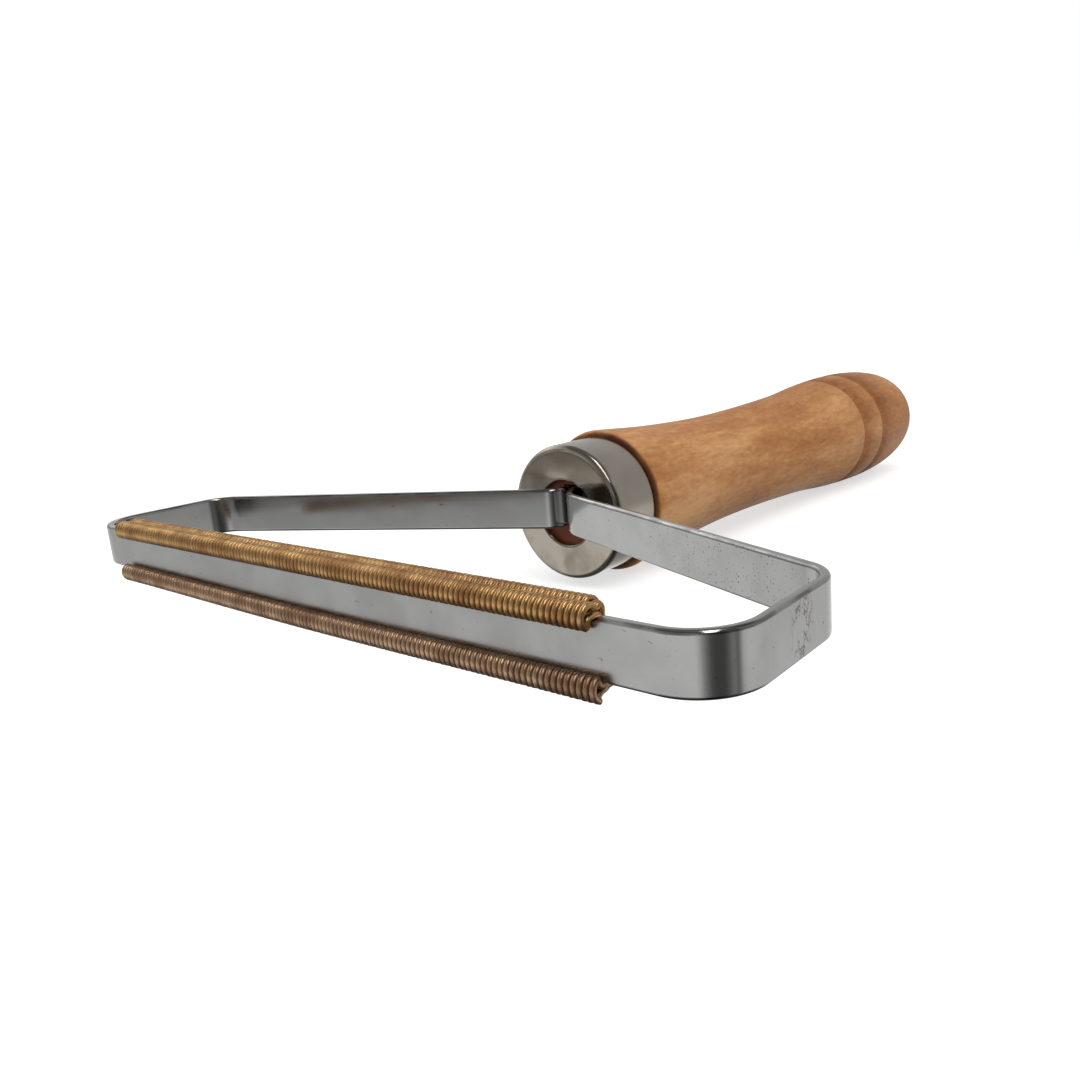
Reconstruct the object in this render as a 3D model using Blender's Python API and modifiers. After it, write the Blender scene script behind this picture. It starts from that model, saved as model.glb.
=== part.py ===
# Pet hair lint remover: one metal strip is bent to a flat-fronted band, and its two ends go
# side by side through a pressed ferrule into a turned wooden handle. A fine wire coil sits
# astride each edge of the band's front. Nothing moves. Lengths are in metres: +X runs along
# the front, +Y from the front to the handle, and +Z up. The origin is at the bottom centre.

import math

import bmesh
import bpy
import numpy as np

SEAT_GAP = 0.0003  # left between pieces that touch

# Band
STRIP_WIDTH = 0.0068
STRIP_THICKNESS = 0.0013
FRONT_HALF_WIDTH = 0.0636  # from the middle to the side, along the front face
REAR_HALF_WIDTH = 0.0626
SIDE_DEPTH = 0.0247  # from the front face to where the side and the leg would meet
BAND_DEPTH = 0.0506  # from the front face to where the legs turn back
FRONT_CORNER_RADIUS = 0.0074  # corner radii are those of the outer face
REAR_CORNER_RADIUS = 0.0066
TANG_BEND_RADIUS = 0.0015
TANG_LENGTH = 0.024  # behind the ferrule's face
BAND_RISE = 0.0013  # middle of the strip above the handle's axis
EDGE_RECESS = 0.0006  # seat of a coil, cut into the strip's edge
CORNER_STEPS = 9
TANG_BEND_STEPS = 6

# Coils
COIL_MARGIN = 0.0065  # from a coil's end to where the front corner starts to bend
WIRE_RADIUS = 0.00033
LOBE_RADIUS = 0.00148  # outer radius of the bulge on each face of the strip
LOBE_STANDOFF = 0.00033  # bulge's centre in front of the strip's face
LOBE_RISE = 0.0001  # bulge's centre above the strip's edge
VALLEY_RISE = 0.0007  # wire's centre above the strip's edge, between the bulges
LOWER_COIL_DROP = 0.0003  # the lower coil stands further off its edge than the upper one
COIL_TURNS = 36
LOBE_ANGLES = (90, 180, 235)  # degrees from the strip, over the top of the front bulge

# Ferrule
NECK_LENGTH = 0.0024  # from where the legs turn back to the ferrule's face
FERRULE_RADIUS = 0.01175
FERRULE_LENGTH = 0.0101
FERRULE_WALL = 0.0007
FERRULE_RIM_RADIUS = 0.001
HOLE_CLEARANCE = 0.0008  # between the tangs' corners and the hole
RIM_STEPS = 5

# Handle
HANDLE_LENGTH = 0.1202  # behind the shoulder
SHOULDER_STEP = 0.0011  # shoulder beyond the ferrule
SHOULDER_ROUND = 0.0008
NECK_AT = 0.0166  # distances behind the shoulder
NECK_RADIUS = 0.01141
WAIST_AT = 0.038
WAIST_RADIUS = 0.01066
SWELL_FROM_END = 0.0542
SWELL_RADIUS = 0.0114
BEAD_FROM_END = 0.0384
BEAD_RADIUS = 0.01269
KNOB_LENGTH = 0.0254
KNOB_RADIUS = 0.01315
KNOB_SQUARENESS = 5.3  # exponent of the knob's outline, 2 for an ellipse
FRONT_GROOVE_FROM_END = 0.0365
REAR_GROOVE_FROM_END = 0.0271
GROOVE_WIDTH = 0.0031
GROOVE_DEPTH = 0.00045
TENON_CHAMFER = 0.0006
SHANK_STEPS = 20
KNOB_STEPS = 10
TURNED_STEPS = 48

FERRULE_FACE_Y = BAND_DEPTH + NECK_LENGTH
SHOULDER_Y = FERRULE_FACE_Y + FERRULE_LENGTH + SEAT_GAP
TANG_HALF_WIDTH = STRIP_THICKNESS + SEAT_GAP / 2
HALF_STEP = math.pi / TURNED_STEPS
COLORS = {
    "steel": ((0.36, 0.36, 0.37), 0.3, 1.0),
    "nickel": ((0.55, 0.51, 0.45), 0.25, 1.0),
    "copper": ((0.62, 0.33, 0.15), 0.35, 1.0),
    "wood": ((0.44, 0.22, 0.09), 0.5, 0.0),
}


def clear_scene():
    for obj in list(bpy.data.objects):
        bpy.data.objects.remove(obj)


def new_collection(name):
    collection = bpy.data.collections.new(name)
    bpy.context.scene.collection.children.link(collection)
    return collection


def new_material(name):
    color, roughness, metallic = COLORS[name]
    material = bpy.data.materials.new(name)
    material.use_nodes = True
    shader = material.node_tree.nodes["Principled BSDF"]
    shader.inputs["Base Color"].default_value = (*color, 1)
    shader.inputs["Roughness"].default_value = roughness
    shader.inputs["Metallic"].default_value = metallic
    return material


def add_object(name, data, collection, parent, location, material=None):
    obj = bpy.data.objects.new(name, data)
    collection.objects.link(obj)
    obj.parent = parent
    obj.location = location
    if material and not data.materials:
        data.materials.append(material)
    return obj


def mesh_from(bm, name):
    mesh = bpy.data.meshes.new(name)
    bm.to_mesh(mesh)
    bm.free()
    return mesh


def add_cutter(name, size, collection, parent, location):
    bm = bmesh.new()
    bmesh.ops.create_cube(bm, size=1)
    bmesh.ops.scale(bm, vec=size, verts=bm.verts)
    cutter = add_object(name, mesh_from(bm, name), collection, parent, location)
    cutter.hide_render = True
    cutter.display_type = "WIRE"
    return cutter


def cut(obj, cutter):
    boolean = obj.modifiers.new("cut " + cutter.name, "BOOLEAN")
    boolean.operation = "DIFFERENCE"
    boolean.object = cutter


# Band

def bend(before, corner, after, radius, steps):
    """Points of the arc that rounds a corner of the band's outline."""
    inward = (before - corner) / np.linalg.norm(before - corner)
    outward = (after - corner) / np.linalg.norm(after - corner)
    half_angle = math.acos(np.clip(inward @ outward, -1, 1)) / 2
    middle = (inward + outward) / np.linalg.norm(inward + outward)
    centre = corner + middle * radius / math.sin(half_angle)
    start = corner + inward * radius / math.tan(half_angle) - centre
    end = corner + outward * radius / math.tan(half_angle) - centre
    turn = math.pi - 2 * half_angle
    weights = [k / steps for k in range(steps + 1)]
    return [centre + (math.sin((1 - w) * turn) * start + math.sin(w * turn) * end) / math.sin(turn)
            for w in weights]


def band_outline():
    """Outer face of the band's right half, from the middle of the front to the tang's end."""
    middle = np.array((0.0, 0.0))
    front = np.array((FRONT_HALF_WIDTH, 0.0))
    rear = np.array((REAR_HALF_WIDTH, SIDE_DEPTH))
    neck = np.array((TANG_HALF_WIDTH, BAND_DEPTH))
    end = np.array((TANG_HALF_WIDTH, FERRULE_FACE_Y + TANG_LENGTH))
    return [middle,
            *bend(middle, front, rear, FRONT_CORNER_RADIUS, CORNER_STEPS),
            *bend(front, rear, neck, REAR_CORNER_RADIUS, CORNER_STEPS),
            *bend(rear, neck, end, TANG_BEND_RADIUS, TANG_BEND_STEPS),
            end]


def coil_half_length():
    return band_outline()[1][0] - COIL_MARGIN


def make_band(parts, cutters, parent, material):
    bm = bmesh.new()
    points = [bm.verts.new((x, y, -STRIP_WIDTH / 2)) for x, y in band_outline()]
    edges = [bm.edges.new(pair) for pair in zip(points, points[1:])]
    drawn = bmesh.ops.extrude_edge_only(bm, edges=edges)["geom"]
    top = [part for part in drawn if isinstance(part, bmesh.types.BMVert)]
    bmesh.ops.translate(bm, verts=top, vec=(0, 0, STRIP_WIDTH))
    band = add_object("band", mesh_from(bm, "band"), parts, parent, (0, 0, BAND_RISE), material)

    mirror = band.modifiers.new("other half", "MIRROR")
    mirror.merge_threshold = 0.00001
    solidify = band.modifiers.new("thickness", "SOLIDIFY")
    solidify.thickness = STRIP_THICKNESS
    solidify.offset = 1
    solidify.use_even_offset = True

    upper, lower = EDGE_RECESS, EDGE_RECESS - LOWER_COIL_DROP
    for side, name, depth in ((1, "upper seat", upper), (-1, "lower seat", lower)):
        seat = (2 * (coil_half_length() + SEAT_GAP), 2 * STRIP_THICKNESS, 2 * depth)
        place = (0, STRIP_THICKNESS / 2, BAND_RISE + side * STRIP_WIDTH / 2)
        cut(band, add_cutter(name, seat, cutters, parent, place))


# Coils

def turn_points():
    """One turn across the strip's upper edge, from the back bulge's foot: (y, z) about its middle."""
    lobe_y = STRIP_THICKNESS / 2 + LOBE_STANDOFF
    lobe_z = STRIP_WIDTH / 2 + LOBE_RISE
    radius = LOBE_RADIUS - WIRE_RADIUS
    angles = [math.radians(angle) for angle in LOBE_ANGLES]
    front = [(radius * math.cos(a) - lobe_y, radius * math.sin(a) + lobe_z) for a in angles]
    front.append((-STRIP_THICKNESS / 2 - SEAT_GAP - WIRE_RADIUS, lobe_z - radius))
    back = [(-y, z) for y, z in reversed(front)]
    reach = (WIRE_RADIUS + SEAT_GAP) / math.cos(math.radians(22.5))
    seat_z = STRIP_WIDTH / 2 - EDGE_RECESS
    knee_y = STRIP_THICKNESS / 2 + reach * math.cos(math.radians(45))
    knee_z = seat_z + reach * math.sin(math.radians(45))
    outer_pass = (0, STRIP_WIDTH / 2 + VALLEY_RISE)
    inner_pass = (0, seat_z + reach)
    return [*back, outer_pass, *front, (-knee_y, knee_z), inner_pass, (knee_y, knee_z)]


def coil_points():
    """The wire's route, from the foot of the first back bulge to that of the last front bulge."""
    turn = turn_points()
    front_foot = 2 * (len(LOBE_ANGLES) + 1)
    count = COIL_TURNS * len(turn) + front_foot + 1
    reach = coil_half_length() - WIRE_RADIUS
    return [(reach * (2 * k / (count - 1) - 1), *turn[k % len(turn)]) for k in range(count)]


def least_gap(points):
    """Least distance between the surfaces of stretches three or more points apart."""
    ends = np.array(points)
    steps = [(ends[:-1] * (1 - w) + ends[1:] * w) for w in (0, 0.25, 0.5, 0.75)]
    dense = np.stack(steps, axis=1).reshape(-1, 3)
    apart = 3 * len(steps)
    nearest = min(np.linalg.norm(dense[k + apart:] - dense[k], axis=1).min()
                  for k in range(len(dense) - apart))
    return nearest - 2 * WIRE_RADIUS


def make_coils(parts, parent, material):
    points = coil_points()
    wire = bpy.data.curves.new("coil", "CURVE")
    wire.dimensions = "3D"
    wire.bevel_depth = WIRE_RADIUS
    wire.bevel_resolution = 1
    wire.use_fill_caps = True
    wire.render_resolution_u = 0
    spline = wire.splines.new("POLY")
    spline.points.add(len(points) - 1)
    for target, point in zip(spline.points, points):
        target.co = (*point, 1)
    middle_y = STRIP_THICKNESS / 2
    add_object("upper_coil", wire, parts, parent, (0, middle_y, BAND_RISE), material)
    lower = add_object("lower_coil", wire, parts, parent,
                       (0, middle_y, BAND_RISE - LOWER_COIL_DROP), material)
    lower.rotation_euler.x = math.pi
    print(f"coil wire: least gap to itself {least_gap(points) * 1000:.2f} mm")


# Turned pieces: a profile of (radius, height) is turned about the tool's axis, and its
# heights run backwards from the piece's place on that axis. A flat of the turned faces is
# at the bottom, so the tool lies still on it.

def quarter(centre_r, centre_z, radius, start, steps):
    """Points of a quarter circle that runs clockwise from an angle in degrees."""
    angles = [math.radians(start - 90 * k / steps) for k in range(steps + 1)]
    return [(centre_r + radius * math.cos(a), centre_z + radius * math.sin(a)) for a in angles]


def add_turned(name, profile, closed, parts, parent, place_y, material):
    bm = bmesh.new()
    points = [bm.verts.new((r, 0, z)) for r, z in profile]
    for pair in zip(points, points[1:]):
        bm.edges.new(pair)
    if closed:
        bm.edges.new((points[-1], points[0]))
    obj = add_object(name, mesh_from(bm, name), parts, parent, (0, place_y, 0), material)
    obj.rotation_euler = (-math.pi / 2, HALF_STEP, 0)
    screw = obj.modifiers.new("turn", "SCREW")
    screw.steps = TURNED_STEPS
    screw.render_steps = TURNED_STEPS
    screw.use_merge_vertices = True
    screw.merge_threshold = 0.00001
    return obj


def ferrule_profile():
    inner_radius = FERRULE_RADIUS - FERRULE_WALL
    bore = math.hypot(TANG_HALF_WIDTH, BAND_RISE + STRIP_WIDTH / 2) + HOLE_CLEARANCE
    inner_round = FERRULE_RIM_RADIUS - FERRULE_WALL
    rim = quarter(FERRULE_RADIUS - FERRULE_RIM_RADIUS, FERRULE_RIM_RADIUS, FERRULE_RIM_RADIUS, 0,
                  RIM_STEPS)
    inside = quarter(FERRULE_RADIUS - FERRULE_RIM_RADIUS, FERRULE_RIM_RADIUS, inner_round, 0,
                     RIM_STEPS)
    return [(FERRULE_RADIUS, FERRULE_LENGTH), *rim, (bore, 0), (bore, FERRULE_WALL),
            *reversed(inside), (inner_radius, FERRULE_LENGTH)]


def shank_radius(station):
    """Radius of the handle at a distance behind its shoulder, through its knots, less grooves."""
    knots = ((0, FERRULE_RADIUS + SHOULDER_STEP), (NECK_AT, NECK_RADIUS), (WAIST_AT, WAIST_RADIUS),
             (HANDLE_LENGTH - SWELL_FROM_END, SWELL_RADIUS),
             (HANDLE_LENGTH - BEAD_FROM_END, BEAD_RADIUS),
             (HANDLE_LENGTH - KNOB_LENGTH, KNOB_RADIUS))
    at = [knot[0] for knot in knots]
    radii = [knot[1] for knot in knots]
    slopes = [(radii[1] - radii[0]) / (at[1] - at[0])]
    for k in range(1, len(knots) - 1):
        slopes.append((radii[k + 1] - radii[k - 1]) / (at[k + 1] - at[k - 1]))
    slopes.append(0)
    k = max(i for i in range(len(knots) - 1) if i == 0 or at[i] <= station)
    span = at[k + 1] - at[k]
    u = (station - at[k]) / span
    radius = ((2 * u ** 3 - 3 * u ** 2 + 1) * radii[k] + (u ** 3 - 2 * u ** 2 + u) * slopes[k] * span
              + (3 * u ** 2 - 2 * u ** 3) * radii[k + 1] + (u ** 3 - u ** 2) * slopes[k + 1] * span)
    for from_end in (FRONT_GROOVE_FROM_END, REAR_GROOVE_FROM_END):
        off = abs(station - HANDLE_LENGTH + from_end) / (GROOVE_WIDTH / 2)
        radius -= GROOVE_DEPTH * max(0, 1 - off)
    return radius


def handle_profile():
    knob_start = HANDLE_LENGTH - KNOB_LENGTH
    knob = []
    for k in range(KNOB_STEPS + 1):
        share = math.sin(math.pi / 2 * k / KNOB_STEPS)
        reach = math.sqrt(1 - share ** KNOB_SQUARENESS)
        knob.append((KNOB_RADIUS * share, knob_start + KNOB_LENGTH * reach))

    stations = [SHOULDER_ROUND + (knob_start - SHOULDER_ROUND) * k / SHANK_STEPS
                for k in range(1, SHANK_STEPS)]
    for from_end in (FRONT_GROOVE_FROM_END, REAR_GROOVE_FROM_END):
        stations += [HANDLE_LENGTH - from_end + GROOVE_WIDTH * side / 2 for side in (-1, 0, 1)]
    shank = [(shank_radius(station), station) for station in sorted(stations, reverse=True)]

    edge = shank_radius(SHOULDER_ROUND) - SHOULDER_ROUND
    shoulder = quarter(edge, SHOULDER_ROUND, SHOULDER_ROUND, 0, RIM_STEPS)
    tenon_radius = FERRULE_RADIUS - FERRULE_WALL - SEAT_GAP
    tenon_end = FERRULE_WALL - FERRULE_LENGTH
    tenon = [(tenon_radius, 0), (tenon_radius, tenon_end + TENON_CHAMFER),
             (tenon_radius - TENON_CHAMFER, tenon_end), (0, tenon_end)]
    return [*knob, *shank, *shoulder, *tenon]


def make_handle(parts, cutters, parent, material):
    handle = add_turned("handle", handle_profile(), False, parts, parent, SHOULDER_Y, material)
    slot_end = FERRULE_FACE_Y + TANG_LENGTH + SEAT_GAP
    slot = (2 * (TANG_HALF_WIDTH + SEAT_GAP), 2 * (slot_end - FERRULE_FACE_Y),
            STRIP_WIDTH + 2 * SEAT_GAP)
    cut(handle, add_cutter("tang slot", slot, cutters, parent, (0, FERRULE_FACE_Y, BAND_RISE)))


def make_ferrule(parts, parent, material):
    add_turned("ferrule", ferrule_profile(), True, parts, parent, FERRULE_FACE_Y, material)


def shade_round_pieces(parts):
    for obj in parts.objects:
        if obj.type == "MESH":
            obj.data.shade_smooth()
            obj.data.set_sharp_from_angle(angle=math.radians(30))


def main():
    clear_scene()
    parts = new_collection("pet hair lint remover")
    cutters = new_collection("cutters")
    steel, nickel, copper, wood = [new_material(name) for name in COLORS]

    foremost_y = -LOBE_STANDOFF - LOBE_RADIUS
    rearmost_y = SHOULDER_Y + HANDLE_LENGTH
    tool = bpy.data.objects.new("tool", None)
    parts.objects.link(tool)
    tool.location = (0, -(foremost_y + rearmost_y) / 2, KNOB_RADIUS * math.cos(HALF_STEP))

    make_band(parts, cutters, tool, steel)
    make_coils(parts, tool, copper)
    make_ferrule(parts, tool, nickel)
    make_handle(parts, cutters, tool, wood)
    shade_round_pieces(parts)


main()
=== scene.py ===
import math

import bpy
from mathutils import Matrix, Vector


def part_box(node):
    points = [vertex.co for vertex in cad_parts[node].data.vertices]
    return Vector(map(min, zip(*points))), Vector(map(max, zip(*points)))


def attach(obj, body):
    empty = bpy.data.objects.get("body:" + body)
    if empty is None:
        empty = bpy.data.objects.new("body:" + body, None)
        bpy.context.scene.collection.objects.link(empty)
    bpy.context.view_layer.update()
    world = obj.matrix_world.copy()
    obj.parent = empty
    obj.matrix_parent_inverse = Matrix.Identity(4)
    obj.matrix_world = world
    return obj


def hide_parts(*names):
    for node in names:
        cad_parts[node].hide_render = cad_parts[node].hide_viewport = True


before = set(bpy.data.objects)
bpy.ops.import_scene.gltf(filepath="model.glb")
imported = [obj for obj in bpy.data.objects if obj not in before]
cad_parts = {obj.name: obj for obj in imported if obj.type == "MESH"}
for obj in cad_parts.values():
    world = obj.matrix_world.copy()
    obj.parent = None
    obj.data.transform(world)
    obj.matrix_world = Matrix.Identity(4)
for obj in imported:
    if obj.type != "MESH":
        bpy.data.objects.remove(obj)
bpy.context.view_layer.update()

mm = 0.001


# Places that every piece shares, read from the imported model

bandLow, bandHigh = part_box("band")
ferruleLow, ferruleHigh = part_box("ferrule")
frontY = bandLow.y
stripZ = (bandLow.z + bandHigh.z) / 2
axisZ = (ferruleLow.z + ferruleHigh.z) / 2
stripThickness = 1.3 * mm
stripWidth = bandHigh.z - bandLow.z
seatGap = 0.3 * mm  # between pieces that touch
mergeDistance = 0.002 * mm  # closer points become one


# Modelling helpers

def startFresh():
    if bpy.context.object and bpy.context.object.mode != "OBJECT":
        bpy.ops.object.mode_set(mode="OBJECT")
    bpy.ops.object.select_all(action="DESELECT")


def enterEdit(selectMode="VERT"):
    bpy.ops.object.mode_set(mode="EDIT")
    bpy.ops.mesh.select_mode(type=selectMode)


def leaveEdit():
    bpy.ops.object.mode_set(mode="OBJECT")


def pick(piece):
    startFresh()
    piece.select_set(True)
    bpy.context.view_layer.objects.active = piece


def selectPoints(piece, test):
    # selects vertices by their place, and stays in edit mode
    leaveEdit()
    for group in (piece.data.edges, piece.data.polygons):
        for item in group:
            item.select = False
    for point in piece.data.vertices:
        point.select = test(point.co)
    enterEdit()


def extrude(x, y, z):
    bpy.ops.mesh.extrude_region_move(TRANSFORM_OT_translate={"value": (x, y, z)})


def cleanMesh():
    enterEdit()
    bpy.ops.mesh.select_all(action="SELECT")
    bpy.ops.mesh.remove_doubles(threshold=mergeDistance)
    bpy.ops.mesh.normals_make_consistent(inside=False)
    leaveEdit()


def applyModifiers(piece):
    for modifier in list(piece.modifiers):
        bpy.ops.object.modifier_apply(modifier=modifier.name)


def finishPiece(piece, name, material, smoothAngle, flats=False):
    # with flats, large flat faces keep one normal all over
    pick(piece)
    applyModifiers(piece)
    bpy.ops.object.transform_apply(location=True, rotation=True, scale=True)
    cleanMesh()
    bpy.ops.object.shade_smooth_by_angle(angle=math.radians(smoothAngle))
    if flats:
        even = piece.modifiers.new("even flats", "WEIGHTED_NORMAL")
        even.keep_sharp = True
        even.weight = 100
        applyModifiers(piece)
    piece.name = name
    piece.data.name = name
    piece.data.materials.clear()
    piece.data.materials.append(material)
    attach(piece, "root")
    print("made", name, "with", len(piece.data.polygons), "faces")


# Shader helpers

class Value:
    # a socket that takes part in sums
    def __init__(self, sheet, socket):
        self.sheet = sheet
        self.socket = socket

    def math(self, operation, first, second):
        return self.sheet.node("ShaderNodeMath", {"operation": operation}, {0: first, 1: second})

    def __add__(self, other):
        return self.math("ADD", self, other)

    def __sub__(self, other):
        return self.math("SUBTRACT", self, other)

    def __rsub__(self, other):
        return self.math("SUBTRACT", other, self)

    def __mul__(self, other):
        return self.math("MULTIPLY", self, other)

    __radd__ = __add__
    __rmul__ = __mul__


class Sheet:
    # the node tree of a material or of the world
    def __init__(self, owner):
        owner.use_nodes = True
        self.owner = owner
        self.tree = owner.node_tree

    def node(self, kind, settings=None, inputs=None, output=0):
        made = self.tree.nodes.new(kind)
        for key, value in (settings or {}).items():
            if key == "stops":
                while len(made.color_ramp.elements) < len(value):
                    made.color_ramp.elements.new(0.5)
                for element, (position, color) in zip(made.color_ramp.elements, value):
                    element.position = position
                    element.color = (*color, 1)
            else:
                setattr(made, key, value)
        for key, value in (inputs or {}).items():
            if isinstance(value, Value):
                self.tree.links.new(value.socket, made.inputs[key])
            else:
                made.inputs[key].default_value = value
        return Value(self, made.outputs[output])

    def link(self, value, nodeName, socket):
        self.tree.links.new(value.socket, self.tree.nodes[nodeName].inputs[socket])

    def split(self, vector):
        return [self.node("ShaderNodeSeparateXYZ", inputs={0: vector}, output=k) for k in range(3)]

    def smooth(self, value, low, high, start=0.0, end=1.0):
        # goes smoothly from start to end as value goes from low to high
        return self.node("ShaderNodeMapRange", {"interpolation_type": "SMOOTHSTEP"},
                         {0: value, 1: low, 2: high, 3: start, 4: end})

    def mix(self, factor, first, second, mode="MIX"):
        colors = [color if isinstance(color, Value) else (*color, 1) for color in (first, second)]
        return self.node("ShaderNodeMix", {"data_type": "RGBA", "blend_type": mode},
                         {0: factor, 6: colors[0], 7: colors[1]}, output=2)


class Finish(Sheet):
    # a material whose patterns stand on the piece's own coordinates
    def __init__(self, name, steady):
        super().__init__(bpy.data.materials.new(name))
        for socket, value in steady.items():
            self.tree.nodes["Principled BSDF"].inputs[socket].default_value = value
        self.place = self.node("ShaderNodeTexCoord", output="Object")
        self.x, self.y, self.z = self.split(self.place)

    def feed(self, socket, value):
        self.link(value, "Principled BSDF", socket)

    def noise(self, waves, detail=2.0, roughness=0.5, shift=(0, 0, 0), warp=0.0):
        # waves per metre, along each axis
        placed = self.node("ShaderNodeMapping", inputs={"Vector": self.place, "Location": shift,
                                                        "Scale": waves})
        return self.node("ShaderNodeTexNoise", inputs={"Vector": placed, "Scale": 1.0,
                                                       "Detail": detail, "Roughness": roughness,
                                                       "Distortion": warp})

    def specks(self, size, share, shift):
        # one small dot in a share of the cells
        placed = self.node("ShaderNodeMapping", inputs={"Vector": self.place,
                                                        "Location": (shift, shift, shift)})
        inputs = {"Vector": placed, "Scale": 1 / size}
        distance = self.node("ShaderNodeTexVoronoi", inputs=inputs, output="Distance")
        color = self.node("ShaderNodeTexVoronoi", inputs=inputs, output="Color")
        chance, width, _ = self.split(color)
        dot = self.smooth(distance * (width + 0.7), 0.12, 0.26, 1.0, 0.0)
        return dot * self.smooth(chance, 1 - share, 1.02 - share)

    def gap(self, value, middle):
        return self.node("ShaderNodeMath", {"operation": "ABSOLUTE"}, {0: value - middle})

    def bump(self, height, strength, depth):
        self.feed("Normal", self.node("ShaderNodeBump", inputs={"Height": height,
                                                                "Strength": strength,
                                                                "Distance": depth}))


# Finishes. A noise has its waves per metre along each axis. An edge is where a mask starts and
# where it is full, a cover is how much of the colour below it hides, and four numbers are a
# range and the values at its two ends.

steel = {"clean": (0.40, 0.40, 0.393), "cloudy": (0.36, 0.358, 0.348),
         "cloudNoise": {"waves": (150, 150, 150), "detail": 3}, "cloudEdge": (0.35, 0.66),
         "nick": (0.05, 0.045, 0.04), "nickCover": 0.5, "nickEdge": (0.7, 0.76),
         "nickNoise": {"waves": (600, 600, 1300), "roughness": 0.6, "shift": (3, 1, 2)},
         "pit": (0.05, 0.045, 0.04), "pitCover": 0.8, "pitX": (12 * mm, 50 * mm),
         "pitY": (14 * mm, 30 * mm), "pitInFront": 0.15,
         "pitSpecks": {"size": 0.45 * mm, "share": 0.7, "shift": 0.3},
         # a darker, patchy line along both rounded edges of the strip
         "grime": (0.10, 0.09, 0.08), "grimeCover": 0.65, "edgeLineEdge": (0.38, 0.6),
         "edgeLineNoise": {"waves": (220, 220, 220), "detail": 3},
         "edgeLineWidth": 0.46 * mm, "edgeLineRim": 0.1 * mm,
         "crack": (0.12, 0.10, 0.08), "crackCover": 0.8, "crackEdge": (0.006, 0.03, 1.0, 0.0),
         "crackNoise": {"waves": (520, 520, 260), "detail": 4, "roughness": 0.7},
         "crackX": (60 * mm, 61 * mm), "crackY": (0.3 * mm, 3.4 * mm, 1.0, 0.0),
         "crackZ": (2.9 * mm, 3.2 * mm, 1.0, 0.0), "crackAt": 14.6 * mm,
         "wander": 5 * mm, "wanderNoise": {"waves": (260, 260, 260)},
         "roughness": (0.3, 0.7, 0.17, 0.12), "crackRoughness": 0.3, "frontRoughness": 0.16,
         "frontX": (50 * mm, 56 * mm, 1.0, 0.0), "frontY": (0.3 * mm, 0.6 * mm),
         "rolledNoise": {"waves": (50, 50, 2400)}, "bump": (0.08, 0.02 * mm)}


def makeSteel():
    finish = Finish("satin steel strip", {"Metallic": 1.0})
    edge = stripWidth / 2
    offMiddle = finish.gap(finish.z, stripZ)
    clouds = finish.noise(**steel["cloudNoise"])
    color = finish.mix(finish.smooth(clouds, *steel["cloudEdge"]), steel["cloudy"], steel["clean"])
    nicks = finish.smooth(finish.noise(**steel["nickNoise"]), *steel["nickEdge"])

    # pits on the right, most of them behind the front
    near, far = [frontY + y for y in steel["pitY"]]
    pitted = (finish.smooth(finish.x, *steel["pitX"])
              * finish.smooth(finish.y, near, far, steel["pitInFront"], 1.0))
    pits = finish.specks(**steel["pitSpecks"]) * pitted

    # a darker, patchy line along both rounded edges
    grime = finish.smooth(offMiddle, edge - steel["edgeLineWidth"], edge - steel["edgeLineWidth"] / 2)
    grime = grime * finish.smooth(offMiddle, edge - steel["edgeLineRim"], edge, 1.0, 0.0)
    grime = grime * finish.smooth(finish.noise(**steel["edgeLineNoise"]), *steel["edgeLineEdge"])

    # a patch of fine cracks on the right side, where a noise is near its middle; its outline
    # wanders by another noise, whose middle is one half
    wander = finish.y + finish.noise(**steel["wanderNoise"]) * steel["wander"]
    off = finish.gap(wander, frontY + steel["crackAt"] + steel["wander"] / 2)
    cracks = finish.smooth(finish.gap(finish.noise(**steel["crackNoise"]), 0.5),
                           *steel["crackEdge"])
    for way, limits in ((off, "crackY"), (finish.x, "crackX"), (offMiddle, "crackZ")):
        cracks = cracks * finish.smooth(way, *steel[limits])

    for mask, kind in ((nicks, "nick"), (pits, "pit"), (grime, "grime"), (cracks, "crack")):
        color = finish.mix(mask * steel[kind + "Cover"], color, steel[kind])
    finish.feed("Base Color", color)

    # the front's outer face is rougher, up to its right corner
    near, far = [frontY + y for y in steel["frontY"]]
    front = finish.smooth(finish.y, near, far, steel["frontRoughness"], 0.0)
    front = front * finish.smooth(finish.x, *steel["frontX"])
    plain = finish.smooth(clouds, *steel["roughness"])
    finish.feed("Roughness", plain + front + cracks * steel["crackRoughness"])
    finish.bump(finish.noise(**steel["rolledNoise"]) - pits, *steel["bump"])
    return finish.owner


nickel = {"clean": (0.40, 0.36, 0.305), "smudge": (0.275, 0.245, 0.20),
          "smudgeNoise": {"waves": (170, 170, 170), "detail": 3, "warp": 0.5},
          "smudgeEdge": (0.42, 0.7), "faceY": (0.6 * mm, 1.6 * mm), "sideShare": 0.2,
          "roughness": 0.14, "smudgeRoughness": 0.12}


def makeNickel():
    # the smudges are mostly on the face
    finish = Finish("plated ferrule", {"Metallic": 1.0})
    near, far = [ferruleLow.y + y for y in nickel["faceY"]]
    face = finish.smooth(finish.y, near, far, 1.0, nickel["sideShare"])
    smudge = finish.smooth(finish.noise(**nickel["smudgeNoise"]), *nickel["smudgeEdge"]) * face
    finish.feed("Base Color", finish.mix(smudge, nickel["clean"], nickel["smudge"]))
    finish.feed("Roughness", smudge * nickel["smudgeRoughness"] + nickel["roughness"])
    return finish.owner


# each wire has its bright and its tarnished colour; the lower wire's pair is duller and greyer
# than the upper's, painted shade for the darker surroundings it reflects
copper = {"upper copper wire": ((0.615, 0.368, 0.153), (0.40, 0.205, 0.081)),
          "lower copper wire with painted shade": ((0.57, 0.38, 0.24), (0.36, 0.215, 0.13)),
          "tarnishNoise": {"waves": (300, 300, 300), "detail": 3}, "tarnishEdge": (0.36, 0.68),
          "roughness": 0.32, "tarnishRoughness": 0.12}


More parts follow.
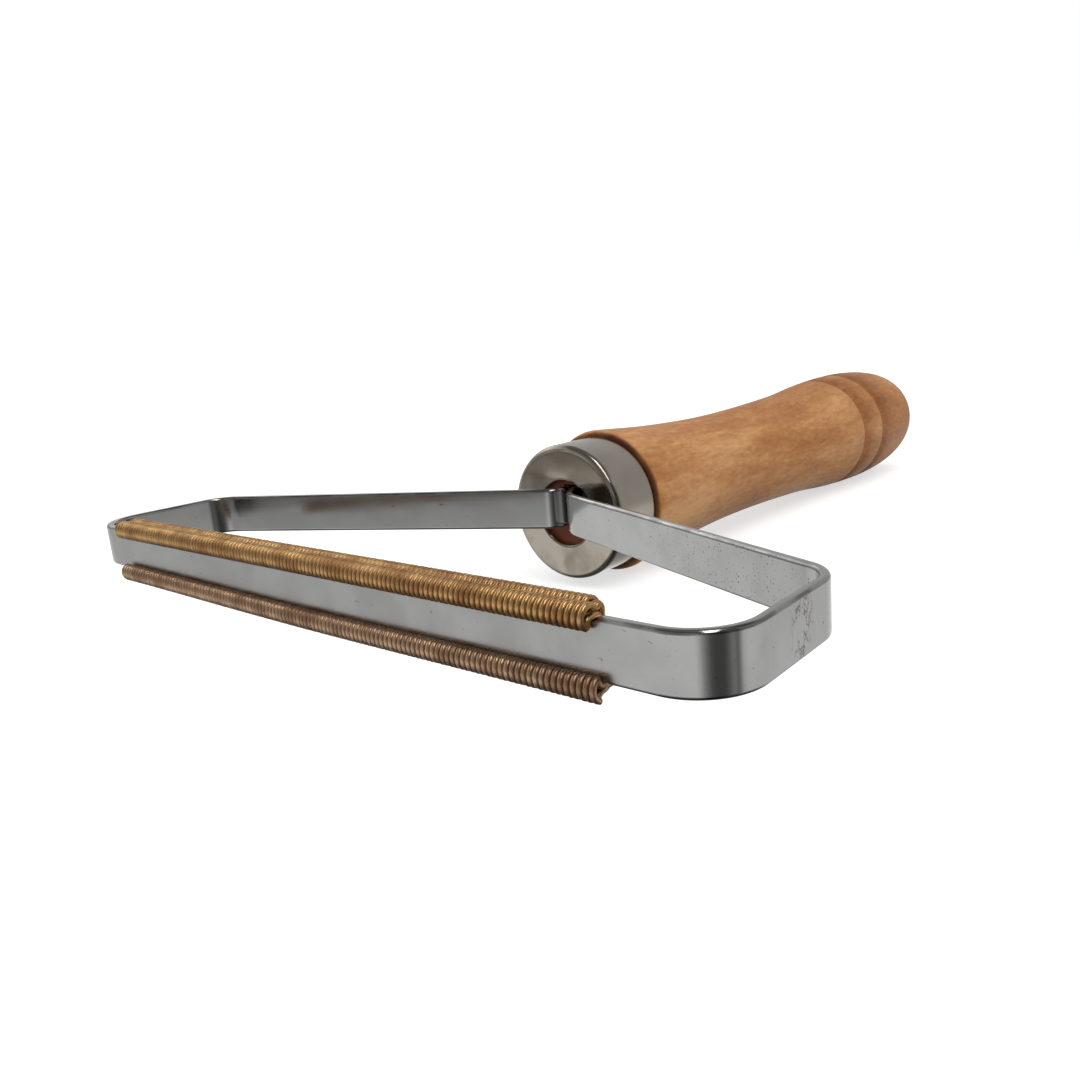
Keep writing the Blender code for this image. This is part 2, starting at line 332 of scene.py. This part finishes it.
def makeCopper(name):
    finish = Finish(name, {"Metallic": 1.0})
    tarnish = finish.smooth(finish.noise(**copper["tarnishNoise"]), *copper["tarnishEdge"])
    finish.feed("Base Color", finish.mix(tarnish, *copper[name]))
    finish.feed("Roughness", tarnish * copper["tarnishRoughness"] + copper["roughness"])
    return finish.owner


# the figure is made of three noises, each with its share, and has painted shade: lighter near the
# shoulder and darker towards the knob
wood = {"figure": [(0.37, (0.30, 0.11, 0.03)), (0.48, (0.42, 0.183, 0.06)),
                   (0.6, (0.58, 0.313, 0.134))],
        "driftNoise": {"waves": (70, 26, 70), "detail": 3}, "driftShare": 0.45,
        "streakNoise": {"waves": (330, 42, 330), "detail": 4, "roughness": 0.62},
        "streakShare": 0.33, "fleckShare": 0.22,
        "fleckNoise": {"waves": (1300, 420, 1300), "detail": 3, "roughness": 0.6},
        "shadeToKnobY": (30 * mm, 82 * mm), "shadeToKnob": (-0.3, 0.7), "shadeToKnobShare": 0.06,
        # groove is the colour of the painted shade in and past each groove
        "groove": (0.62, 0.50, 0.40), "grooveShadeCover": 0.85, "grooveShadeLead": 0.5 * mm,
        "grooveShadeFade": (0.3 * mm, 8.5 * mm),
        "stain": (0.085, 0.019, 0.01), "stainY": (0.05 * mm, 0.5 * mm),
        "stainWander": 0.3 * mm, "stainNoise": {"waves": (300, 300, 300)},
        "tenon": (0.17, 0.048, 0.024), "tenonFade": 2 * mm,
        "steady": {"Coat Weight": 0.04, "Coat Roughness": 0.35, "Specular IOR Level": 0.16},
        "roughness": (0.3, 0.7, 0.44, 0.6), "fleckBump": 0.5, "bump": (0.14, 0.05 * mm)}


def makeWood():
    finish = Finish("turned wood", wood["steady"])
    shoulder = ferruleHigh.y + seatGap
    drift = finish.noise(**wood["driftNoise"])
    streak = finish.noise(**wood["streakNoise"])
    fleck = finish.noise(**wood["fleckNoise"])
    # painted shade: the tone drops from the shoulder towards the knob
    near, far = [shoulder + y for y in wood["shadeToKnobY"]]
    tone = (drift * wood["driftShare"] + streak * wood["streakShare"] + fleck * wood["fleckShare"]
            - finish.smooth(finish.y, near, far, *wood["shadeToKnob"]) * wood["shadeToKnobShare"])
    color = finish.node("ShaderNodeValToRGB", {"stops": wood["figure"]}, {0: tone})
    for groove in handle["grooves"]:
        # painted shade in each groove, fading out towards the knob across the bead
        at = shoulder + groove
        near, far = [at + y for y in wood["grooveShadeFade"]]
        grooveShade = (finish.smooth(finish.y, at - wood["grooveShadeLead"], at)
                    * finish.smooth(finish.y, near, far, 1.0, 0.0))
        color = finish.mix(grooveShade * wood["grooveShadeCover"], color, wood["groove"], "MULTIPLY")
    near, far = [shoulder + y for y in wood["stainY"]]
    uneven = finish.y + finish.noise(**wood["stainNoise"]) * wood["stainWander"]
    color = finish.mix(finish.smooth(uneven, near, far, 1.0, 0.0), color, wood["stain"])
    tenon = finish.smooth(finish.y, ferruleHigh.y - wood["tenonFade"], ferruleHigh.y, 1.0, 0.0)
    finish.feed("Base Color", finish.mix(tenon, color, wood["tenon"]))
    finish.feed("Roughness", finish.smooth(streak, *wood["roughness"]))
    finish.bump(streak + fleck * wood["fleckBump"], *wood["bump"])
    return finish.owner


print("finishes ready")


# Coils: how the wire is wound. Places across the strip are (y, z) from the middle of its edge,
# and the feet, which run down its faces and under its edge, are in millimetres. Side 1 is the
# upper coil and side -1 the lower one.

coil = {"turns": 122, "wire": 0.38 * mm, "lobeY": 0.94 * mm, "lobeRadius": 1.14 * mm,
        "lobeRise": 0.02 * mm, "valleyRise": 0.66 * mm, "innerRise": -0.2 * mm,
        "lobeFrom": 84, "lobeTo": 250, "lobeSteps": 8, "lowerDrop": 0.38 * mm,
        "foot": ((1.1, -1.0), (1.04, -0.86), (1.03, -0.6), (0.98, -0.4), (0.62, -0.22)),
        "span": {1: (-50.6 * mm, 49.2 * mm), -1: (-51 * mm, 49.95 * mm)},
        "bow": {1: 0, -1: 0.3 * mm},
        "lastPoint": {1: 16, -1: 9},  # of the part turn at the right end
        "pinchY": 1.3 * mm, "pinchShare": 0.5, "pinchHeight": {1: 0.38, -1: 0.75},
        "pinchFrom": 0.5 * mm}


# Band: the strip's cross-section is drawn from one tang to the other and spun round each bend

band = {"frontHalf": 63.59 * mm, "rearHalf": 62.59 * mm, "sideDepth": 24.7 * mm,
        "depth": 50.6 * mm, "frontRadius": 7.4 * mm, "rearRadius": 6.6 * mm,
        "leftTangRadius": 2.8 * mm, "rightTangRadius": 8.7 * mm,
        "bendSteps": (16, 24, 28, 28, 24, 28), "tangShift": 1.1 * mm,
        "tangLength": 24 * mm, "neck": 2.4 * mm, "edgeRadius": 0.5 * mm, "edgeSteps": 4,
        "upperSeat": 0.6 * mm, "lowerSeat": 0.3 * mm}


def bendPlan():
    # outer face seen from above: the first tang's end, each bend's start, centre and turn, and
    # the last tang's end
    tangHalf = stripThickness + seatGap / 2
    slope = (band["depth"] - band["sideDepth"]) / (band["rearHalf"] - tangHalf)
    leftTang = band["tangShift"] - tangHalf
    rightTang = band["tangShift"] + tangHalf
    end = band["depth"] + band["neck"] + band["tangLength"]
    rise = slope * band["tangShift"]
    corners = [Vector(corner) for corner in (
        (leftTang, end), (leftTang, band["depth"] + rise), (-band["rearHalf"], band["sideDepth"]),
        (-band["frontHalf"], 0), (band["frontHalf"], 0), (band["rearHalf"], band["sideDepth"]),
        (rightTang, band["depth"] - rise), (rightTang, end))]
    radii = (band["leftTangRadius"], band["rearRadius"], band["frontRadius"], band["frontRadius"],
             band["rearRadius"], band["rightTangRadius"])
    bends = []
    for before, corner, after, radius in zip(corners, corners[1:], corners[2:], radii):
        come = (corner - before).normalized()
        go = (after - corner).normalized()
        turn = math.atan2(come.x * go.y - come.y * go.x, come.dot(go))
        start = corner - come * radius * math.tan(abs(turn) / 2)
        side = Vector((-come.y, come.x)) * math.copysign(1, turn)
        bends.append((start, start + side * radius, turn))
    return corners[0], bends, corners[-1]


def cutAway(piece, low, high):
    # takes a box out of a piece
    startFresh()
    bpy.ops.mesh.primitive_cube_add(size=1, location=(low + high) / 2)
    cutter = bpy.context.object
    enterEdit()
    bpy.ops.transform.resize(value=high - low)
    leaveEdit()
    pick(piece)
    cut = piece.modifiers.new("cut", "BOOLEAN")
    cut.operation = "DIFFERENCE"
    cut.object = cutter
    applyModifiers(piece)
    bpy.data.objects.remove(cutter)


def makeBand():
    startFresh()
    at, bends, tangEnd = bendPlan()
    bpy.ops.mesh.primitive_plane_add(size=1, rotation=(math.pi / 2, 0, 0), location=(
        at.x + stripThickness / 2, at.y + frontY, stripZ))
    piece = bpy.context.object
    bpy.ops.object.transform_apply(location=True, rotation=True)
    enterEdit("FACE")
    bpy.ops.transform.resize(value=(stripThickness, 1, stripWidth))
    for (start, centre, turn), steps in zip(bends, band["bendSteps"]):
        extrude(start.x - at.x, start.y - at.y, 0)
        bpy.ops.mesh.spin(steps=steps, angle=-turn, axis=(0, 0, 1),
                          center=(centre.x, centre.y + frontY, stripZ))
        at = start - centre
        at.rotate(Matrix.Rotation(turn, 2))
        at += centre
    extrude(tangEnd.x - at.x, tangEnd.y - at.y, 0)
    leaveEdit()
    cleanMesh()
    edges = piece.modifiers.new("rolled edges", "BEVEL")
    edges.width = band["edgeRadius"]
    edges.segments = band["edgeSteps"]
    edges.limit_method = "ANGLE"
    edges.angle_limit = math.radians(50)
    applyModifiers(piece)
    for side, depth in ((1, band["upperSeat"]), (-1, band["lowerSeat"])):
        left, right = coil["span"][side]
        heights = sorted((stripZ + side * (stripWidth / 2 - depth), stripZ + side * stripWidth))
        cutAway(piece, Vector((left - seatGap, frontY - seatGap, heights[0])),
                Vector((right + seatGap, frontY + stripThickness + seatGap, heights[1])))
    finishPiece(piece, "band.steel", makeSteel(), smoothAngle=35, flats=True)
    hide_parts("band")


makeBand()


# Turned pieces: a ring of edges is drawn along the axis and resized to each radius

turnedSides = 128


def turnPiece(profile, closeFirst, closeLast):
    # profile is a list of (radius, y)
    startFresh()
    radius, y = profile[0]
    bpy.ops.mesh.primitive_circle_add(vertices=turnedSides, radius=radius, fill_type="NOTHING",
                                      location=(0, y, axisZ), rotation=(math.pi / 2, 0, 0))
    piece = bpy.context.object
    bpy.ops.object.transform_apply(location=True, rotation=True)
    enterEdit()
    if closeFirst:
        closePole()
        selectPoints(piece, lambda place: math.hypot(place.x, place.z - axisZ) > radius / 2)
    for (before, last), (after, y) in zip(profile, profile[1:]):
        extrude(0, y - last, 0)
        share = after / before
        bpy.ops.transform.resize(value=(share, 1, share), center_override=(0, y, axisZ))
    if closeLast:
        closePole()
    leaveEdit()
    return piece


def closePole():
    extrude(0, 0, 0)
    bpy.ops.mesh.merge(type="CENTER")


def quarterRound(centreRadius, centreY, radius, start, steps=6):
    angles = [math.radians(start - 90 * k / steps) for k in range(steps + 1)]
    return [(centreRadius + radius * math.cos(a), centreY + radius * math.sin(a)) for a in angles]


# Ferrule

ferrule = {"wall": 0.7 * mm, "rim": 1.0 * mm, "lip": 0.12 * mm, "holeGap": 0.8 * mm,
           "flatEdge": 0.35 * mm}  # rings that keep the faces flat up to their edges


def makeFerrule():
    outer = ferruleHigh.x
    face, rear = ferruleLow.y, ferruleHigh.y
    wall, rim, lip = ferrule["wall"], ferrule["rim"], ferrule["lip"]
    outside = quarterRound(outer - rim, face + rim, rim, 0, 8)
    inside = quarterRound(outer - rim, face + rim, rim - wall, 0, 4)
    tangCorner = math.hypot(stripThickness + seatGap / 2, stripZ - axisZ + stripWidth / 2)
    hole = tangCorner + ferrule["holeGap"]
    flat = ferrule["flatEdge"]
    ring = [(outer - wall, rear), (outer - lip, rear), (outer, rear - lip),
            (outer, rear - lip - flat), (outer, face + rim + flat), *outside,
            (outer - rim - flat, face),
            (hole + lip + flat, face), (hole + lip, face), (hole, face + lip),
            (hole, face + wall), *reversed(inside), (outer - wall, rear)]
    piece = turnPiece(ring, False, False)
    finishPiece(piece, "ferrule.plated", makeNickel(), smoothAngle=50, flats=True)
    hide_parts("ferrule")


makeFerrule()


# Handle

handle = {"length": 120.19 * mm, "shoulderStep": 1.1 * mm, "shoulderRound": 0.8 * mm,
          "neck": (16.6 * mm, 11.41 * mm), "waist": (38 * mm, 10.66 * mm),
          "swell": (66.0 * mm, 11.4 * mm), "bead": (81.8 * mm, 12.69 * mm),
          "knobLength": 25.4 * mm, "knobRadius": 13.12 * mm, "knobSquareness": 5.3,
          "grooves": (83.7 * mm, 93.1 * mm), "grooveHalf": 1.55 * mm, "grooveDepth": 0.45 * mm,
          "grooveBlunt": 0.12, "grooveMargin": 0.155 * mm, "tenonChamfer": 0.6 * mm,
          "shankSteps": 60, "knobSteps": 24}


def shankRadius(station):
    # through the knots by smooth cubics, less the two grooves
    knots = [(0, ferruleHigh.x + handle["shoulderStep"]), handle["neck"], handle["waist"],
             handle["swell"], handle["bead"],
             (handle["length"] - handle["knobLength"], handle["knobRadius"])]
    slopes = [(knots[1][1] - knots[0][1]) / (knots[1][0] - knots[0][0])]
    for before, after in zip(knots, knots[2:]):
        slopes.append((after[1] - before[1]) / (after[0] - before[0]))
    slopes.append(0)
    k = max(i for i in range(len(knots) - 1) if i == 0 or knots[i][0] <= station)
    span = knots[k + 1][0] - knots[k][0]
    u = (station - knots[k][0]) / span
    radius = ((2 * u ** 3 - 3 * u ** 2 + 1) * knots[k][1]
              + (u ** 3 - 2 * u ** 2 + u) * slopes[k] * span
              + (3 * u ** 2 - 2 * u ** 3) * knots[k + 1][1]
              + (u ** 3 - u ** 2) * slopes[k + 1] * span)
    for groove in handle["grooves"]:
        off = abs(station - groove) / handle["grooveHalf"]
        radius -= handle["grooveDepth"] * max(0, 1 - off)
    return radius


def makeHandle():
    shoulderY = ferruleHigh.y + seatGap
    knobStart = handle["length"] - handle["knobLength"]
    rings = []
    for k in range(1, handle["knobSteps"] + 1):
        share = math.sin(math.pi / 2 * k / handle["knobSteps"])
        reach = math.sqrt(1 - share ** handle["knobSquareness"])
        rings.append((handle["knobRadius"] * share, knobStart + handle["knobLength"] * reach))
    rounding = handle["shoulderRound"]
    stations = [rounding + (knobStart - rounding) * k / handle["shankSteps"]
                for k in range(1, handle["shankSteps"])]
    # each groove has rings of its own
    grooveHalf, blunt = handle["grooveHalf"], handle["grooveBlunt"]
    for groove in handle["grooves"]:
        stations = [s for s in stations if abs(s - groove) > grooveHalf + handle["grooveMargin"]]
        stations += [groove + grooveHalf * side for side in (-1, -blunt, blunt, 1)]
    rings += [(shankRadius(station), station) for station in sorted(stations, reverse=True)]
    rings += quarterRound(shankRadius(rounding) - rounding, rounding, rounding, 0)
    tenon = ferruleHigh.x - ferrule["wall"] - seatGap
    tenonEnd = ferruleLow.y + ferrule["wall"] - ferruleHigh.y
    chamfer = handle["tenonChamfer"]
    rings += [(tenon, 0), (tenon, tenonEnd + chamfer), (tenon - chamfer, tenonEnd),
              (tenon / 4, tenonEnd)]
    piece = turnPiece([(radius, shoulderY + y) for radius, y in rings], True, True)
    pick(piece)
    cleanMesh()
    # a slot for the two tangs, with more room on the right, where the tang still bends
    middle = band["tangShift"] + seatGap
    half = stripThickness + 2.5 * seatGap
    tall = (stripWidth + seatGap) / 2
    depth = band["tangLength"] + seatGap
    cutAway(piece, Vector((middle - half, ferruleLow.y - depth, stripZ - tall)),
            Vector((middle + half, ferruleLow.y + depth, stripZ + tall)))
    finishPiece(piece, "handle.wood", makeWood(), smoothAngle=32)
    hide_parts("handle")


makeHandle()


# Each coil: one turn is drawn as a chain of edges, repeated along the front, and given the
# wire's thickness

def turnRoute():
    # one turn from the front lobe's foot, up and over it to the back lobe, down and back under
    # the edge
    edge = stripWidth / 2
    steps = coil["lobeSteps"]
    spread = [math.radians(coil["lobeFrom"] + (coil["lobeTo"] - coil["lobeFrom"]) * k / steps)
              for k in range(steps + 1)]
    back = [(coil["lobeY"] - coil["lobeRadius"] * math.cos(a),
             coil["lobeRadius"] * math.sin(a) + coil["lobeRise"] + edge) for a in spread]
    reachY, reachZ = back[0]
    back += [(y * mm, edge + z * mm) for y, z in coil["foot"]]
    front = [(-y, z) for y, z in reversed(back)]
    foot = len(coil["foot"]) - 1
    valley = edge + coil["valleyRise"]
    outer = [(reachY * share, valley + (reachZ - valley) * math.sin(math.pi / 2 * share) ** 2)
             for share in (-0.75, -0.5, -0.25, 0, 0.25, 0.5, 0.75)]
    inner = [(0, edge + coil["innerRise"])]
    route = [*front[foot:], *outer, *back, *inner, *front[:foot + 1]]
    lengths = [0]
    for (y0, z0), (y1, z1) in zip(route, route[1:]):
        lengths.append(lengths[-1] + math.hypot(y1 - y0, z1 - z0))
    return [(length / lengths[-1], y, z) for length, (y, z) in zip(lengths, route)]


def pinch(route, side):
    # the last turn's back lobe is pressed against the strip
    edge = stripWidth / 2
    pressed = []
    for share, y, z in route:
        if y > 0 and z > edge:
            z -= (z - edge) * coil["pinchHeight"][side] * min(1, y / coil["pinchFrom"])
        if y > coil["pinchY"]:
            y = coil["pinchY"] + (y - coil["pinchY"]) * coil["pinchShare"]
        pressed.append((share, y, z))
    return pressed


def makeCoil(name, side, material):
    startFresh()
    route = turnRoute()
    left, right = coil["span"][side]
    ending = route[:coil["lastPoint"][side]]
    reach = ending[-1][0]
    pitch = (right - left - 2 * coil["wire"]) / (coil["turns"] + reach)
    drop = coil["lowerDrop"] if side < 0 else 0
    middle = Vector((0, frontY + stripThickness / 2, stripZ - drop))

    def stepAlong(points):
        for before, after in zip(points, points[1:]):
            extrude((after[0] - before[0]) * pitch, after[1] - before[1],
                    side * (after[2] - before[2]))

    start = middle + Vector((left + coil["wire"], route[0][1], side * route[0][2]))
    bpy.ops.mesh.primitive_plane_add(size=1 * mm, location=start)
    piece = bpy.context.object
    bpy.ops.object.transform_apply(location=True)
    enterEdit()
    bpy.ops.mesh.merge(type="CENTER")
    stepAlong(route)
    leaveEdit()
    repeat = piece.modifiers.new("turns", "ARRAY")
    repeat.count = coil["turns"] - 1
    repeat.use_relative_offset = False
    repeat.use_constant_offset = True
    repeat.constant_offset_displace = (pitch, 0, 0)
    repeat.use_merge_vertices = True
    repeat.merge_threshold = mergeDistance / 2
    applyModifiers(piece)
    last = start.x + (coil["turns"] - 1) * pitch
    selectPoints(piece, lambda place: abs(place.x - last) < mergeDistance / 2)
    stepAlong(pinch(route, side))
    stepAlong(ending)
    selectPoints(piece, lambda place: abs(place.x) < pitch)
    bpy.ops.transform.translate(value=(0, 0, side * coil["bow"][side]), use_proportional_edit=True,
                                proportional_edit_falloff="SMOOTH", proportional_size=right)
    leaveEdit()
    bpy.ops.object.convert(target="CURVE")
    piece = bpy.context.object
    piece.data.bevel_depth = coil["wire"]
    piece.data.bevel_resolution = 2
    piece.data.use_fill_caps = True
    bpy.ops.object.convert(target="MESH")
    piece = bpy.context.object
    finishPiece(piece, name + ".wire", material, smoothAngle=60)
    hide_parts(name)


makeCoil("upper_coil", 1, makeCopper("upper copper wire"))
# the lower coil's copper is a shaded copy of the same copper, with painted shade in its colours
makeCoil("lower_coil", -1, makeCopper("lower copper wire with painted shade"))


# Camera, at the photograph's place

view = {"place": (103.887 * mm, -65.302 * mm, 31.322 * mm), "lens": 31.27,
        "sensor": 36, "nearest": 1 * mm, "right": (0.74221, 0.66481, -0.08452),
        "up": (-0.09171, 0.22568, 0.96987), "forward": (-0.66386, 0.71210, -0.22847)}


def makeCamera():
    startFresh()
    bpy.ops.object.camera_add()
    camera = bpy.context.object
    turned = Matrix((view["right"], view["up"], -Vector(view["forward"]))).transposed()
    place = Vector(view["place"]) + Vector((0, frontY, stripZ))
    camera.matrix_world = Matrix.Translation(place) @ turned.to_4x4()
    camera.data.lens = view["lens"]
    camera.data.sensor_width = view["sensor"]
    camera.data.sensor_fit = "HORIZONTAL"
    camera.data.clip_start = view["nearest"]
    bpy.context.scene.camera = camera


makeCamera()


# Studio: soft light from everywhere. Reflections see a room that is darker above the horizon,
# with a dark ceiling, a shaded floor straight below, a bright panel high on the left, and
# shades high in front, straight in front and on the right. Each is a range of a direction's
# x, y or z and the values at its two ends. All round they also see these (degrees from +x
# towards +y, brightness).

studio = {"soft": (-0.3, 1.0, 0.54, 1.08), "walls": (-0.22, 0.0, 1.0, 0.6),
          "ceiling": (0.62, 0.76, 1.0, 1 / 3), "underneath": (-0.8, -0.38, 0.12, 1.0),
          "panel": {"x": (-0.8, -0.5, 1.2, 0.0), "z": (0.3, 0.45)},
          "shades": ({"y": (-0.7, 0.0, 0.5, 0.0), "z": (0.1, 0.42)},
                     {"y": (-0.97, -0.82, 0.47, 0.0), "z": (-0.29, -0.22)},
                     {"x": (0.78, 0.88, 0.0, 0.4), "z": (-0.22, -0.18)}),
          "round": ((-180, 1), (-166, 1), (-160, 0.78), (-154, 0.66), (-146, 0.78),
                    (-134, 0.98), (-127, 1), (-63, 1), (-57, 0.8), (-52, 0.5), (-46, 0.28),
                    (-40, 0.14), (-34, 0.1), (-20, 0.1), (-13, 0.2), (-7, 0.34), (-3, 0.32),
                    (1, 0.18), (5, 0.4), (10, 0.8), (20, 0.95), (40, 0.88), (62, 0.83),
                    (90, 0.93), (180, 1)),
          "light": {"place": (0.31, -0.198, 0.653), "along": (-0.6, 0.69, 0.41),
                    "size": (0.6, 0.18), "power": 1.6},
          "floor": {"size": 12, "color": 0.55, "glow": 0.62}}


def makeWorld():
    world = bpy.data.worlds.new("studio")
    bpy.context.scene.world = world
    sheet = Sheet(world)
    x, y, z = sheet.split(sheet.node("ShaderNodeTexCoord", output="Generated"))
    ways = {"x": x, "y": y, "z": z}

    def patch(ranges):
        first, second = [sheet.smooth(ways[axis], *limits) for axis, limits in ranges.items()]
        return first * second

    turned = sheet.node("ShaderNodeMath", {"operation": "ARCTAN2"}, {0: y, 1: x})
    around = sheet.node("ShaderNodeValToRGB", {"stops": [
        (degrees / 360 + 0.5, (light, light, light)) for degrees, light in studio["round"]]},
        {0: turned * (0.5 / math.pi) + 0.5})
    seen = sheet.smooth(z, *studio["walls"]) * around
    seen = seen * sheet.smooth(z, *studio["underneath"])
    for shade in studio["shades"]:
        seen = seen * (1 - patch(shade))
    seen = seen * sheet.smooth(z, *studio["ceiling"])
    seen = seen + patch(studio["panel"])
    path = {name: sheet.node("ShaderNodeLightPath", output=name)
            for name in ("Is Camera Ray", "Is Glossy Ray")}
    soft = sheet.smooth(z, *studio["soft"])
    strength = soft + path["Is Glossy Ray"] * (seen - soft)
    strength = strength + path["Is Camera Ray"] * (1 - strength)
    sheet.tree.nodes["Background"].inputs["Color"].default_value = (1, 1, 1, 1)
    sheet.link(strength, "Background", "Strength")


def makeLight():
    # a strip light that faces the origin
    light = studio["light"]
    startFresh()
    bpy.ops.object.light_add(type="AREA")
    lamp = bpy.context.object
    lamp.name = "striplight"
    lamp.data.shape = "RECTANGLE"
    lamp.data.size, lamp.data.size_y = light["size"]
    lamp.data.energy = light["power"]
    back = Vector(light["place"]).normalized()
    across = back.cross(Vector(light["along"])).normalized()
    turned = Matrix((across.cross(back), across, back)).transposed()
    lamp.matrix_world = Matrix.Translation(light["place"]) @ turned.to_4x4()


def makeFloor():
    look = studio["floor"]
    startFresh()
    bpy.ops.mesh.primitive_plane_add(size=look["size"], location=(0, 0, 0))
    floor = bpy.context.object
    floor.name = "floor"
    floor.visible_glossy = False
    color = (look["color"], look["color"], look["color"], 1)
    finish = Finish("pale floor", {"Base Color": color, "Roughness": 0.9,
                                   "Specular IOR Level": 0.0, "Emission Color": (1, 1, 1, 1)})
    seen = finish.node("ShaderNodeLightPath", output="Is Camera Ray")
    finish.feed("Emission Strength", seen * look["glow"])
    floor.data.materials.append(finish.owner)


makeWorld()
makeLight()
makeFloor()
bpy.context.scene.view_settings.view_transform = "Standard"
print("studio ready")
